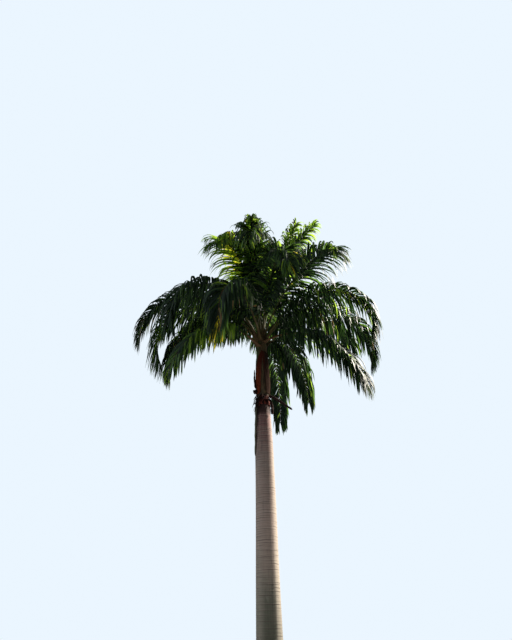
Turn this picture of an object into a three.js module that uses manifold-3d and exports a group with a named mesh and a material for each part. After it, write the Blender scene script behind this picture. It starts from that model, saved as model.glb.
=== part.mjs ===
// A feather palm with a crownshaft: a ringed stem that leans a little, the sheaths round its bud,
// the dead remains under the crown, a spear leaf, and arching fronds that hang over at their tips.
// Millimetres, +Z up. The origin is the middle of the flat cut under the trunk, at ground level.

import * as THREE from "three";
import { LoftGeometry } from "three/addons/geometries/LoftGeometry.js";
import { mergeVertices } from "three/addons/utils/BufferGeometryUtils.js";
import Module from "manifold-3d";

// Sideways shift of the stem for each unit of height, towards -X.
const LEAN = -0.017;
// Clear space left between pieces that touch.
const GAP = 0.5;
// Corners of a surface that are closer than this are one corner.
const SAME_CORNER = 0.001;

// Stem outlines from the bottom up, each point a height above the ground and the diameter there.
const TRUNK_OUTLINE = [
  [0, 640],
  [300, 580],
  [800, 540],
  [1500, 510],
  [3200, 454],
  [4800, 412],
  [5700, 386],
  [6200, 340],
  [6500, 290],
];
const COLLAR_OUTLINE = [
  [6500 + GAP, 310],
  [6560, 328],
  [6640, 280],
  [6690, 258],
  [6740, 262],
];
const CROWNSHAFT_OUTLINE = [
  [6740 + GAP, 266],
  [6840, 296],
  [6950, 312],
  [7200, 310],
  [7700, 280],
  [8050, 248],
  [8250, 200],
  [8400, 130],
  [8470, 60],
];
// The oldest sheath wraps the crownshaft from its foot to this height.
const SHEATH_FOOT = 6760;
const SHEATH_TOP = 7900;
const SHEATH_THICKNESS = 9;
const SHEATH_ROOM = SHEATH_THICKNESS + 3 * GAP;
// The old sheath is torn open from its foot up to the apex of a narrow triangle.
const SPLIT_HEADING = 273;
const SPLIT_WIDTH = 120;
const SPLIT_APEX = 7760;
const SPLIT_DEPTH = 400;

const TRUNK_SIDES = 18;
const TRUNK_STEPS = 12;
const STEM_SIDES = 14;
const STEM_STEPS = 8;
const COLLAR_STEPS = 4;
const LIMB_STEPS = 7;
const LIMB_SIDES = 6;
// Wider than the stem on every side, for cuts at a height.
const SLAB_WIDTH = 1600;

// The furled spear leaf in the middle of the crown.
const SPEAR_FOOT = 8480;
const SPEAR_TOP = 11150;
const SPEAR_DIAMETER = 62;
const SPEAR_TIP = 12;
// The spear bows a little to the front, and its tip stands off to one side.
const SPEAR_BOW = 12;
const SPEAR_SHIFT = 18;

// Frond blades. The leafless petiole ends at PETIOLE, and the blade is widest from FULL to TAPER,
// all as shares of the frond's length. A frond is split at BEND into an inner and an outer node.
const PETIOLE = 0.13;
const FULL = 0.32;
const TAPER = 0.6;
// The last leaflets reach past the rib's end, to REACH, and would shrink to nothing at VANISH.
// A `SWELL` under 1 fills out the blade close to the petiole.
const REACH = 1.06;
const VANISH = 1.12;
const SWELL = 0.7;
const BEND = 0.5;
const BEND_GAP = 3;
const RIB_BASE = 62;
const RIB_TIP = 12;
const RIB_THINNING = 0.7;
const BLADE_EDGE = 30;
// Arms of a blade: how much hanging narrows them, how far stiff ones sweep forward, and how
// steeply hanging ones fall. A short arm, near either end of the blade, falls less.
const ARM_NARROWING = 0.35;
const ARM_SWEEP = 0.5;
const ARM_FALL = 0.9;
const ARM_SHORT = 1 / 3;
// Free space round another frond's rib, and between two blades.
const RIB_CLEARANCE = 10;
const BLADE_CLEARANCE = 3;
const STATIONS = 5;
const CORRIDOR_STEPS = 8;
const RIB_STEPS = 60;
// Each age of frond: height and radius of its seats, half width of its blade, and how far
// its leaflets hang, from 0, stiff and level, to 1, straight down.
const OLD = { seatHeight: 8050, seatRadius: 90, halfWidth: 720, hang: 0.9, color: 0x1d3212 };
const GROWN = { seatHeight: 8200, seatRadius: 80, halfWidth: 820, hang: 0.85, color: 0x26401a };
const YOUNG = { seatHeight: 8330, seatRadius: 62, halfWidth: 820, hang: 0.6, color: 0x47662a };
const YOUNGEST = { seatHeight: 8440, seatRadius: 36, halfWidth: 620, hang: 0.55, color: 0x5d7a2c };

// A frond leaves its seat towards `heading` and at `lift` above level, and turns sideways by
// `turn` and over to the slope `tip` at its end. A low `bend` makes it droop early. Degrees;
// headings are counted from +X towards +Y, and `seat` is the heading of its foot.
// Each row is name, age, seat, heading, turn, lift, tip, bend, length.
const FRONDS = [
  ["left_high", GROWN, 220, 230, 0, 52, -105, 1.2, 4200],
  ["left_far", GROWN, 178, 188, 0, 68, -100, 1.3, 4400],
  ["left_low", GROWN, 190, 200, 0, 60, -120, 1.1, 4100],
  ["left_near", OLD, 240, 228, 0, 30, -75, 0.7, 3600],
  ["front_low", GROWN, 262, 250, 0, 50, -110, 1.1, 4000],
  ["front_top", YOUNGEST, 268, 261, 10, 80, -40, 1.2, 3800],
  ["front_hook", YOUNG, 236, 264, 0, 80, -80, 1.6, 4000],
  ["left_top", YOUNG, 196, 245, 0, 83, -65, 1.5, 3700],
  ["front_arch", YOUNG, 290, 283, 0, 75, -90, 1.3, 3800],
  ["right_spire", YOUNGEST, 350, 335, 0, 80, 35, 1.6, 3700],
  ["mid_spire", YOUNGEST, 310, 338, -25, 78, 60, 1.4, 3500],
  ["right_top", YOUNG, 328, 308, -20, 61, -50, 1.2, 3700],
  ["right_high", GROWN, 326, 339, 0, 63, -112, 1.4, 4200],
  ["right_far", GROWN, 8, 9, 0, 68, -108, 1.3, 4400],
  ["right_near", GROWN, 312, 316, 0, 10, -70, 0.7, 3700],
  ["right_back", OLD, 42, 60, 0, 58, -95, 1.2, 3600],
  ["back_low", OLD, 96, 77, 0, 60, -115, 1.1, 4000],
  ["back_spire", YOUNGEST, 120, 105, 0, 80, 10, 1.4, 4000],
  ["back_left", GROWN, 110, 140, 0, 70, -50, 1.3, 4300],
  ["back_right", GROWN, 50, 35, 0, 65, -40, 1.2, 4100],
  ["left_back", OLD, 150, 177, 0, 66, -112, 1.1, 3600],
  ["back_top", YOUNG, 76, 90, 0, 75, -30, 1.3, 3800],
].map(([name, age, seat, heading, turn, lift, tip, bend, length]) => {
  return { name, age, seat, heading, turn, lift, tip, bend, length };
});

// What is left under the crown of fallen fronds: a hanging strip of sheath, a stub of the old
// flower stalk, a hook, a knob and a sliver. Each is a limb along its route, from the radius
// `foot` to the radius `end`, and `flat` is the share of its thickness that is left one way.
const REMAINS = {
  hanging_strip: {
    route: [
      [-210, -80, 6740],
      [-250, -110, 6560],
      [-272, -125, 6200],
      [-285, -120, 5750],
      [-295, -80, 5300],
    ],
    foot: 45,
    end: 22,
    flat: 0.16,
  },
  flower_stub: {
    route: [
      [16, -92, 6724],
      [160, -130, 6645],
      [340, -175, 6500],
      [545, -225, 6320],
    ],
    foot: 32,
    end: 22,
  },
  dead_hook: {
    route: [
      [10, -95, 6650],
      [62, -128, 6560],
      [90, -135, 6400],
      [88, -130, 6250],
    ],
    foot: 24,
    end: 36,
  },
  dead_knob: {
    route: [
      [-240, -70, 6850],
      [-285, -75, 6840],
      [-330, -80, 6815],
    ],
    foot: 46,
    end: 50,
  },
  dead_sliver: {
    route: [
      [-272, -50, 6920],
      [-310, -55, 7150],
      [-315, -60, 7430],
    ],
    foot: 34,
    end: 11,
    flat: 0.6,
  },
};

const BARK = new THREE.MeshStandardMaterial({ color: 0x8d8174, roughness: 0.9 });
const DEAD_FIBRE = new THREE.MeshStandardMaterial({ color: 0x4b2a20, roughness: 0.95 });
const CROWNSHAFT_SKIN = new THREE.MeshStandardMaterial({ color: 0x5c5a2c, roughness: 0.55 });
const DRY_SHEATH = new THREE.MeshStandardMaterial({ color: 0x6e3322, roughness: 0.7 });
const SPEAR_SKIN = new THREE.MeshStandardMaterial({ color: 0x4e6424, roughness: 0.6 });

const wasm = await Module();
wasm.setup();
const palm = new THREE.Group();

// Point of the stem's axis at a height.
function axisAt(height) {
  return new THREE.Vector3(LEAN * height, 0, height);
}

// Unit vector along a heading, and the one to its right.
function ahead(degrees) {
  const angle = THREE.MathUtils.degToRad(degrees);
  return new THREE.Vector3(Math.cos(angle), Math.sin(angle), 0);
}

function rightOf(degrees) {
  return ahead(degrees - 90);
}

// The closed surface as a solid, with shared corners merged and flattened triangles dropped.
function solidFrom(geometry) {
  const bare = new THREE.BufferGeometry();
  bare.setAttribute("position", geometry.getAttribute("position"));
  bare.setIndex(geometry.index);
  const merged = mergeVertices(bare, SAME_CORNER);
  const corners = merged.index.array;
  const kept = [];
  for (let i = 0; i < corners.length; i += 3) {
    const [a, b, c] = corners.slice(i, i + 3);
    if (a !== b && b !== c && c !== a) kept.push(a, b, c);
  }
  return new wasm.Manifold(
    new wasm.Mesh({
      numProp: 3,
      vertProperties: merged.attributes.position.array,
      triVerts: new Uint32Array(kept),
    }),
  );
}

// A solid as a geometry of shared corners.
function geometryOf(solid) {
  const mesh = solid.getMesh();
  const positions = new Float32Array(mesh.numVert * 3);
  for (let i = 0; i < mesh.numVert; i++) {
    const from = i * mesh.numProp;
    positions.set(mesh.vertProperties.subarray(from, from + 3), i * 3);
  }
  const geometry = new THREE.BufferGeometry();
  geometry.setAttribute("position", new THREE.BufferAttribute(positions, 3));
  geometry.setIndex(new THREE.BufferAttribute(mesh.triVerts, 1));
  return geometry;
}

// Of the bodies that a cut leaves, the largest one. Merging its corners can part it once more.
function largestBody(solid) {
  const largest = (cut) => cut.decompose().sort((a, b) => b.volume() - a.volume())[0];
  const merged = solidFrom(geometryOf(largest(solid)));
  return geometryOf(largest(merged));
}

function addPiece(name, geometry, material) {
  const mesh = new THREE.Mesh(geometry, material);
  mesh.name = name;
  palm.add(mesh);
}

// Radii of an outline, at even steps from its foot to its top, as points for a lathe.
function outlinePoints(outline, steps) {
  const corners = outline.map(([height, diameter]) => new THREE.Vector2(diameter / 2, height));
  return new THREE.SplineCurve(corners).getPoints(steps);
}

// A profile turned round the vertical axis, then leaned with the stem.
function turned(profile, sides) {
  const geometry = new THREE.LatheGeometry(profile, sides);
  geometry.rotateX(Math.PI / 2);
  return geometry.applyMatrix4(new THREE.Matrix4().makeShear(0, 0, 0, 0, LEAN, 0));
}

// A solid of revolution closed on the axis at its foot and top, `grow` wider than its outline.
function stemSegment(outline, sides, steps, grow = 0) {
  const rim = outlinePoints(outline, steps);
  rim.forEach((point) => (point.x += grow));
  const foot = new THREE.Vector2(0, rim[0].y);
  const top = new THREE.Vector2(0, rim[rim.length - 1].y);
  return turned([foot, ...rim, top], sides);
}

// A limb of round sections along a smooth curve through `route`, from radius `foot` to `end`.
function limb({ route, foot, end, flat = 1 }) {
  const path = new THREE.CatmullRomCurve3(route.map((point) => new THREE.Vector3(...point)));
  const frames = path.computeFrenetFrames(LIMB_STEPS);
  const sections = [];
  for (let i = 0; i <= LIMB_STEPS; i++) {
    const centre = path.getPointAt(i / LIMB_STEPS);
    const radius = THREE.MathUtils.lerp(foot, end, i / LIMB_STEPS);
    const section = [];
    for (let k = 0; k < LIMB_SIDES; k++) {
      const angle = (k / LIMB_SIDES) * Math.PI * 2;
      section.push(
        centre
          .clone()
          .addScaledVector(frames.normals[i], radius * Math.cos(angle))
          .addScaledVector(frames.binormals[i], radius * flat * Math.sin(angle)),
      );
    }
    sections.push(section);
  }
  return new LoftGeometry(sections, { capStart: true, capEnd: true });
}

// Direction of a frond's rib, and the level direction to its right, at a share of its length.
function directionOf({ heading, turn, lift, tip, bend }, share) {
  const slope = THREE.MathUtils.degToRad(lift - (lift - tip) * share ** bend);
  const bearing = heading + turn * share ** 2;
  const along = ahead(bearing).multiplyScalar(Math.cos(slope));
  along.z = Math.sin(slope);
  return { along, side: rightOf(bearing) };
}

// The rib of a frond as points from its seat to its tip, worked out in short straight steps.
function ribOf(frond) {
  const point = axisAt(frond.age.seatHeight).addScaledVector(ahead(frond.seat), frond.age.seatRadius);
  const points = [point.clone()];
  for (let i = 0; i < RIB_STEPS; i++) {
    const { along } = directionOf(frond, (i + 0.5) / RIB_STEPS);
    point.addScaledVector(along, frond.length / RIB_STEPS);
    points.push(point.clone());
  }
  return points;
}

// Point, direction, right-hand side and upper side of a rib at a share of its length.
function placeOn(frond, share) {
  const index = Math.min(Math.floor(share * RIB_STEPS), RIB_STEPS - 1);
  const centre = frond.rib[index].clone().lerp(frond.rib[index + 1], share * RIB_STEPS - index);
  const { along, side } = directionOf(frond, share);
  return { centre, along, side, up: side.clone().cross(along) };
}

// Length of the leaflets at a share of the frond's length, as a share of the longest.
function leafletShare(share) {
  const grown = THREE.MathUtils.smoothstep(share, PETIOLE, FULL) ** SWELL;
  const past = Math.max(0, (share - TAPER) / (VANISH - TAPER));
  return grown * (1 - past ** 2);
}

// Thickness of the rib at a share of the frond's length.
function ribAt(share) {
  return THREE.MathUtils.lerp(RIB_BASE, RIB_TIP, share ** RIB_THINNING);
}

// One section of a blade: a low roof of two arms, thick at the rib and thin at both edges.
function bladeSection(frond, share, grow) {
  const { centre, along, side, up } = placeOn(frond, share);
  const { halfWidth, hang } = frond.age;
  const ridge = ribAt(share) / 2 + grow;
  const reach = Math.max(ribAt(share) / 2, halfWidth * leafletShare(share)) + grow;
  const edge = BLADE_EDGE / 2 + grow;
  const fall = ARM_FALL * hang * Math.min(1, leafletShare(share) / ARM_SHORT);
  const arm = (sign) =>
    side
      .clone()
      .multiplyScalar(sign * (1 - ARM_NARROWING * hang))
      .addScaledVector(along, ARM_SWEEP * (1 - hang))
      .add(new THREE.Vector3(0, 0, -fall))
      .normalize();
  const corner = (sign, rise) =>
    centre.clone().addScaledVector(arm(sign), reach).addScaledVector(up, rise);
  const middle = (rise) => centre.clone().addScaledVector(up, rise);
  const upper = [corner(-1, edge), middle(ridge), corner(1, edge)];
  const lower = [corner(1, -edge), middle(-ridge), corner(-1, -edge)];
  return [...upper, ...lower];
}

// A blade between two shares of the length. Each end is folded shut on its middle line.
function bladeBetween(frond, from, to, grow = 0) {
  const sections = [];
  for (let i = 0; i <= STATIONS; i++) {
    sections.push(bladeSection(frond, THREE.MathUtils.lerp(from, to, i / STATIONS), grow));
  }
  const shut = ([, top, , , bottom]) => [top, top, top, bottom, bottom, bottom];
  sections.unshift(shut(sections[0]));
  sections.push(shut(sections[sections.length - 1]));
  return solidFrom(new LoftGeometry(sections));
}

// The rib with `space` round it.
function ribWithin(frond, space) {
  const sections = [];
  for (let i = 0; i <= CORRIDOR_STEPS; i++) {
    const share = i / CORRIDOR_STEPS;
    const { centre, side, up } = placeOn(frond, share);
    const half = ribAt(share) / 2 + space;
    const corner = (across, rise) =>
      centre.clone().addScaledVector(side, across * half).addScaledVector(up, rise * half);
    sections.push([corner(-1, -1), corner(-1, 1), corner(1, 1), corner(1, -1)]);
  }
  return solidFrom(new LoftGeometry(sections, { capStart: true, capEnd: true }));
}

// Stem: the trunk from its flat cut to the collar of old fibre, and the crownshaft above it.
const trunk = (grow = 0) => stemSegment(TRUNK_OUTLINE, TRUNK_SIDES, TRUNK_STEPS, grow);
const collar = (grow = 0) => stemSegment(COLLAR_OUTLINE, STEM_SIDES, COLLAR_STEPS, grow);
const crownshaft = (grow = 0) => stemSegment(CROWNSHAFT_OUTLINE, STEM_SIDES, STEM_STEPS, grow);

// All that lies between two heights.
function levelSlab(low, high) {
  const slab = new THREE.BoxGeometry(SLAB_WIDTH, SLAB_WIDTH, high - low);
  slab.translate(0, 0, (low + high) / 2);
  return solidFrom(slab);
}

// The oldest sheath: a shell round the crownshaft, torn open in a narrow triangle on one side.
function oldSheath() {
  const outside = solidFrom(crownshaft(2 * GAP + SHEATH_THICKNESS));
  const skin = outside.subtract(solidFrom(crownshaft(2 * GAP)));
  const shell = skin.intersect(levelSlab(SHEATH_FOOT, SHEATH_TOP));
  const tear = new THREE.Shape([
    new THREE.Vector2(-SPLIT_WIDTH / 2, SHEATH_FOOT - SPLIT_WIDTH),
    new THREE.Vector2(SPLIT_WIDTH / 2, SHEATH_FOOT - SPLIT_WIDTH),
    new THREE.Vector2(0, SPLIT_APEX),
  ]);
  const wedge = new THREE.ExtrudeGeometry(tear, { depth: SPLIT_DEPTH, bevelEnabled: false });
  wedge.rotateX(Math.PI / 2);
  wedge.rotateZ(THREE.MathUtils.degToRad(SPLIT_HEADING + 90) + Math.PI);
  wedge.translate(LEAN * SPLIT_APEX, 0, 0);
  return largestBody(shell.subtract(solidFrom(wedge)));
}

// The dead remains, each cut clear of the stem that it comes from.
function addRemains() {
  const stem = [trunk(GAP), collar(GAP), crownshaft(SHEATH_ROOM)].map(solidFrom);
  for (const [name, shape] of Object.entries(REMAINS)) {
    const clear = stem.reduce((piece, part) => piece.subtract(part), solidFrom(limb(shape)));
    addPiece(name, largestBody(clear), DEAD_FIBRE);
  }
}

// The furled spear leaf, `grow` thicker than it is.
function spearLeaf(grow = 0) {
  const middle = LEAN * SPEAR_FOOT;
  const route = [
    [middle, 0, SPEAR_FOOT - grow],
    [middle, -SPEAR_BOW, (SPEAR_FOOT + SPEAR_TOP) / 2],
    [middle + SPEAR_SHIFT, -2 * SPEAR_BOW, SPEAR_TOP],
  ];
  return limb({ route, foot: SPEAR_DIAMETER / 2 + grow, end: SPEAR_TIP / 2 + grow });
}

// Each blade keeps out of every other rib's corridor, and is cut by the blades made before it,
// except close round its own rib, so that no frond is cut through.
function addFronds() {
  const sheathRoom = solidFrom(crownshaft(SHEATH_ROOM)).intersect(levelSlab(0, SHEATH_TOP + GAP));
  const spearRoom = solidFrom(spearLeaf(RIB_CLEARANCE));
  const stem = solidFrom(crownshaft(GAP)).add(sheathRoom).add(spearRoom);
  const fronds = FRONDS.map((frond) => ({ ...frond, rib: ribOf(frond) }));
  for (const frond of fronds) {
    frond.corridor = ribWithin(frond, RIB_CLEARANCE);
    frond.core = ribWithin(frond, RIB_CLEARANCE / 2);
    const inner = bladeBetween(frond, 0, BEND, BLADE_CLEARANCE);
    frond.swept = inner.add(bladeBetween(frond, BEND, REACH, BLADE_CLEARANCE));
  }
  fronds.forEach((frond, order) => {
    const others = fronds.filter((other) => other !== frond);
    const gap = BEND_GAP / frond.length;
    const material = new THREE.MeshStandardMaterial({ color: frond.age.color, roughness: 0.6 });
    const halves = { inner: [0, BEND - gap], outer: [BEND + gap, REACH] };
    for (const [half, [from, to]] of Object.entries(halves)) {
      let blade = bladeBetween(frond, from, to).subtract(stem);
      for (const other of others) blade = blade.subtract(other.corridor);
      for (const earlier of fronds.slice(0, order)) {
        blade = blade.subtract(earlier.swept.subtract(frond.core));
      }
      addPiece(`${frond.name}_${half}`, largestBody(blade), material);
    }
  });
}

addPiece("trunk", trunk(), BARK);
addPiece("collar", collar(), DEAD_FIBRE);
addPiece("crownshaft", crownshaft(), CROWNSHAFT_SKIN);
addPiece("old_sheath", oldSheath(), DRY_SHEATH);
addPiece("spear_leaf", spearLeaf(), SPEAR_SKIN);
addRemains();
addFronds();

export default palm;
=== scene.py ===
# %% [markdown]
# # A feather palm, leaflet by leaflet
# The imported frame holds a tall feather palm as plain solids: a trunk, the collar of old fibre above
# it, the crownshaft in its torn sheath, what is left of fallen parts, a spear leaf, and two thin
# blades for each of the 22 fronds. Here the trunk gets its ring scars, the collar its fibres, and
# every pair of blades gives way to a rib with a few hundred leaflets.
# Lengths are metres, +Z is up, and the foot of the trunk is the origin. The photo sees the palm
# from -Y, with +X to its right.

import bpy
import numpy as np
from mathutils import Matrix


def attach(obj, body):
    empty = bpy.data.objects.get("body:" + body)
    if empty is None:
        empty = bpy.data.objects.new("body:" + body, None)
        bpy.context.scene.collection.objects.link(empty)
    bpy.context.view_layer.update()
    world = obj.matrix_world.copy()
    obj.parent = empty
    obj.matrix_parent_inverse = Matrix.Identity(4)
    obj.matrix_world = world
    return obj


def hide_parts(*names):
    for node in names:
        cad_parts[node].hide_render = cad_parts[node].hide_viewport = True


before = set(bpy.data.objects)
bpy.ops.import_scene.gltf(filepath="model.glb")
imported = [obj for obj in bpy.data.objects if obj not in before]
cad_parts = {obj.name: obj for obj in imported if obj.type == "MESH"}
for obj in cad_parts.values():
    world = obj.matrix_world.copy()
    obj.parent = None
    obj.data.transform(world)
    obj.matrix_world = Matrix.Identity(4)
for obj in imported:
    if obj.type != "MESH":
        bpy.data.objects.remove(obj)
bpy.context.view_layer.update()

# %% [markdown]
# ## The view and the light
# The photo was taken from eye height, 11 m in front of the palm, with the lens of a phone tipped up
# so far that the horizon lies just under the picture. A camera object with the same place, pitch
# and lens gives the same outline, which an orthographic or a level view would not.

# %% Camera
EYE = (-0.278, -11.0, 1.6)
EYE_PITCH = 33.6
EYE_LENS = 28.8

camera = bpy.data.objects.new("camera", bpy.data.cameras.new("camera"))
camera.location = EYE
camera.rotation_euler = (np.radians(90 + EYE_PITCH), 0, 0)
camera.data.lens = EYE_LENS
bpy.context.scene.collection.objects.link(camera)
bpy.context.scene.camera = camera
print("camera", EYE, "pitched up", EYE_PITCH, "degrees")

# %% [markdown]
# The sun stood behind the palm's right shoulder: a quarter of the trunk's width is lit, and most
# leaflets are seen from their shaded side. One broad sun lamp gives that direction with soft edges.
# A much weaker and broader one from the left rounds off the shaded side, and everything else is fill
# from a pale, even surround.

# %% Light
SUN_HEADING = 25
SUN_HEIGHT = 42
SUN_STRENGTH = 14.0
SUN_SPREAD = 5
SUN_COLOUR = (1.0, 0.92, 0.8)
FILL_HEADING = 200
FILL_HEIGHT = 25
FILL_STRENGTH = 0.7
FILL_SPREAD = 60
SURROUND = (0.83, 0.92, 1.0)
SURROUND_SEEN = 1.0
SURROUND_LIGHT = 0.22


def add_lamp(name, heading, height, strength, spread, colour):
    """A distant lamp, which shines along its own -Z axis. Turned by height and heading, its +Z axis
    points to where it stands in the sky."""
    lamp = bpy.data.lights.new(name, "SUN")
    lamp.energy = strength
    lamp.angle = np.radians(spread)
    lamp.color = colour
    made = bpy.data.objects.new(name, lamp)
    made.rotation_euler = (0, np.radians(90 - height), np.radians(heading))
    bpy.context.scene.collection.objects.link(made)


def add_surround():
    """A plain surround that is bright where the camera sees it and gives less light than that."""
    world = bpy.data.worlds.new("surround")
    world.use_nodes = True
    tree = world.node_tree
    light = tree.nodes["Background"]
    light.inputs["Color"].default_value = (*SURROUND, 1)
    seen = tree.nodes.new("ShaderNodeLightPath").outputs["Is Camera Ray"]
    strength = tree.nodes.new("ShaderNodeMapRange")
    strength.inputs["To Min"].default_value = SURROUND_LIGHT
    strength.inputs["To Max"].default_value = SURROUND_SEEN
    tree.links.new(seen, strength.inputs["Value"])
    tree.links.new(strength.outputs[0], light.inputs["Strength"])
    bpy.context.scene.world = world


add_lamp("sun", SUN_HEADING, SUN_HEIGHT, SUN_STRENGTH, SUN_SPREAD, SUN_COLOUR)
add_lamp("fill", FILL_HEADING, FILL_HEIGHT, FILL_STRENGTH, FILL_SPREAD, SURROUND)
add_surround()
bpy.context.scene.view_settings.view_transform = "Standard"
print("sun from heading", SUN_HEADING, "at", SUN_HEIGHT, "degrees")

# %% [markdown]
# ## Shader sums
# A material is a tree of nodes, and a sum written out as nodes is hard to read. `Wire` stands for
# one output of a node and knows how to add, subtract and multiply itself, so that `1 - mask` makes
# the Math node it needs. `Paint` is one material, and its method `node` makes any node at all:
# first its settings, then the values or wires of its sockets.

# %% Wires and paints
class Wire:
    """One output socket of a paint's node. Arithmetic with numbers or wires adds Math nodes."""

    def __init__(self, paint, socket):
        self.paint = paint
        self.socket = socket

    def math(self, operation, *values, **settings):
        settings["operation"] = operation
        return self.paint.node("ShaderNodeMath", settings, dict(enumerate(values)))

    def __add__(self, other):
        return self.math("ADD", self, other)

    def __sub__(self, other):
        return self.math("SUBTRACT", self, other)

    def __rsub__(self, other):
        return self.math("SUBTRACT", other, self)

    def __mul__(self, other):
        return self.math("MULTIPLY", self, other)

    __radd__ = __add__
    __rmul__ = __mul__

    def between(self, low, high):
        """0 at low and before it, 1 at high and past it, with a smooth step from one to the other.
        The low end may be the greater number."""
        settings = {"interpolation_type": "SMOOTHSTEP"}
        sockets = {"Value": self, "From Min": low, "From Max": high}
        return self.paint.node("ShaderNodeMapRange", settings, sockets)


class Paint:
    """One material, made node by node."""

    def __init__(self, name):
        self.material = bpy.data.materials.new(name)
        self.material.use_nodes = True
        self.tree = self.material.node_tree
        self.tree.nodes.clear()
        self.place = self.node("ShaderNodeTexCoord", out="Object")

    def node(self, kind, settings=None, sockets=None, out=0):
        """A new node: settings first, then sockets. Gives the wire of its output `out`."""
        made = self.tree.nodes.new(kind)
        for name, value in (settings or {}).items():
            setattr(made, name, value)
        for key, value in (sockets or {}).items():
            if isinstance(value, Wire):
                self.tree.links.new(value.socket, made.inputs[key])
            else:
                made.inputs[key].default_value = value
        return Wire(self, made.outputs[out]) if made.outputs else None

    def height(self):
        """The Z of the place: metres above the ground."""
        return self.node("ShaderNodeSeparateXYZ", sockets={0: self.place}, out="Z")

    def sideways(self):
        """The X of the place: metres to the right of the origin."""
        return self.node("ShaderNodeSeparateXYZ", sockets={0: self.place}, out="X")

    def mark(self, name):
        """A value that the mesh carries at each of its vertices."""
        return self.node("ShaderNodeAttribute", {"attribute_name": name}, out="Fac")

    def noise(self, stretch, detail=3.0, rough=0.5):
        """Cloudy noise from 0 to 1, with `stretch` clouds to the metre along X, Y and Z."""
        place = self.node("ShaderNodeMapping", sockets={"Vector": self.place, "Scale": stretch})
        sockets = {"Vector": place, "Scale": 1.0, "Detail": detail, "Roughness": rough}
        return self.node("ShaderNodeTexNoise", sockets=sockets)

    def blend(self, share, first, second):
        """The first colour where share is 0, the second where it is 1."""
        first, second = [c if isinstance(c, Wire) else (*c, 1) for c in (first, second)]
        return self.node("ShaderNodeMix", {"data_type": "RGBA"}, {0: share, 6: first, 7: second}, 2)

    def relief(self, height, depth):
        """A surface direction that shows `height` as relief, `depth` metres deep."""
        return self.node("ShaderNodeBump", sockets={"Height": height, "Distance": depth})

    def finish(self, colour, rough, relief=None, glow=None, through=0.0, looks=None):
        """Ends the paint in a Principled shader. A thin leaf lets light through: a Translucent shader
        of the colour `glow` is mixed in by the share `through`. Looks are further sockets."""
        if not isinstance(colour, Wire):
            colour = (*colour, 1)
        sockets = {"Base Color": colour, "Roughness": rough, **(looks or {})}
        if relief:
            sockets["Normal"] = relief
        surface = self.node("ShaderNodeBsdfPrincipled", sockets=sockets)
        if glow:
            behind = self.node("ShaderNodeBsdfTranslucent", sockets={"Color": (*glow, 1)})
            surface = self.node("ShaderNodeMixShader", sockets={0: through, 1: surface, 2: behind})
        self.node("ShaderNodeOutputMaterial", sockets={"Surface": surface})
        return self.material


# %% [markdown]
# ## Surfaces from whole arrays
# Each surface below is worked out as an array of points, one formula for all of them at once, and
# handed to Blender in one go. Building faces one by one in a loop would give the same mesh, but for
# a crown of six thousand leaflets it would take many times as long.

# %% Pieces
BODY = "root"


def add_piece(name, points, faces, paints, slot, stands_for, kinds=None, marks=None):
    """A mesh object from arrays. `faces` is a list of arrays with one face in each row, `paints` are
    its materials and `kinds` says which of them each face has. `marks` are values for each point.
    The piece rides on the palm's one body, and stands for the named solids of the frame."""
    mesh = bpy.data.meshes.new(name)
    corners = np.concatenate([block.ravel() for block in faces]).astype(np.int32)
    sizes = np.concatenate([np.full(len(block), block.shape[1]) for block in faces])
    starts = np.cumsum(sizes) - sizes
    mesh.vertices.add(len(points))
    mesh.vertices.foreach_set("co", np.asarray(points, np.float32).ravel())
    mesh.loops.add(len(corners))
    mesh.loops.foreach_set("vertex_index", corners)
    mesh.polygons.add(len(sizes))
    mesh.polygons.foreach_set("loop_start", starts.astype(np.int32))
    if kinds is not None:
        mesh.polygons.foreach_set("material_index", np.asarray(kinds, np.int32))
    for mark, values in (marks or {}).items():
        attribute = mesh.attributes.new(mark, "FLOAT", "POINT")
        attribute.data.foreach_set("value", np.asarray(values, np.float32).ravel())
    mesh.update(calc_edges=True)
    mesh.shade_smooth()
    for paint in paints:
        mesh.materials.append(paint)
    piece = bpy.data.objects.new(name, mesh)
    bpy.context.scene.collection.objects.link(piece)
    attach(piece, BODY)
    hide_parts(*stands_for)
    return piece


def triangles(*pieces):
    """How many triangles these pieces have: a face with n corners is n - 2 of them."""
    return sum(len(p.data.loops) - 2 * len(p.data.polygons) for p in pieces)


# %% [markdown]
# Nearly everything on a palm is a limb: trunk, rib, dry strip and fibre are rows of rings, closed
# at both ends. A bevelled curve would make them too, but one at a time, and with a section object
# of its own for each that is not round. Here the rings of many limbs are one array, and a few
# knots with a smooth curve through them give each outline.

# %% Closed limbs
def unit(vectors):
    """Vectors of the same directions, each of length 1."""
    return vectors / np.linalg.norm(vectors, axis=-1, keepdims=True)


def closed(rings):
    """Points and faces of limbs given as an array of limbs x rings x points x 3. Each ring runs
    counter-clockwise as seen from the limb's tip. Neighbouring rings are joined by quads, and both
    end rings by a fan of triangles to the mean of their points, so that every limb is closed."""
    count, rows, columns = rings.shape[:3]
    poles = rings[:, [0, -1]].mean(2)
    points = np.concatenate([rings.reshape(count, -1, 3), poles], axis=1)
    here = np.arange(columns)
    after = (here + 1) % columns
    row = np.arange(rows - 1)[:, None] * columns
    last = (rows - 1) * columns
    walls = np.stack([row + here, row + after, row + columns + after, row + columns + here], -1)
    foot = np.stack([here * 0 + rows * columns, after, here], -1)
    tip = np.stack([here * 0 + rows * columns + 1, last + here, last + after], -1)
    first = np.arange(count)[:, None, None] * (rows * columns + 2)
    blocks = (walls.reshape(-1, 4), foot, tip)
    return points.reshape(-1, 3), [(first + b).reshape(-1, b.shape[1]) for b in blocks]


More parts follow.
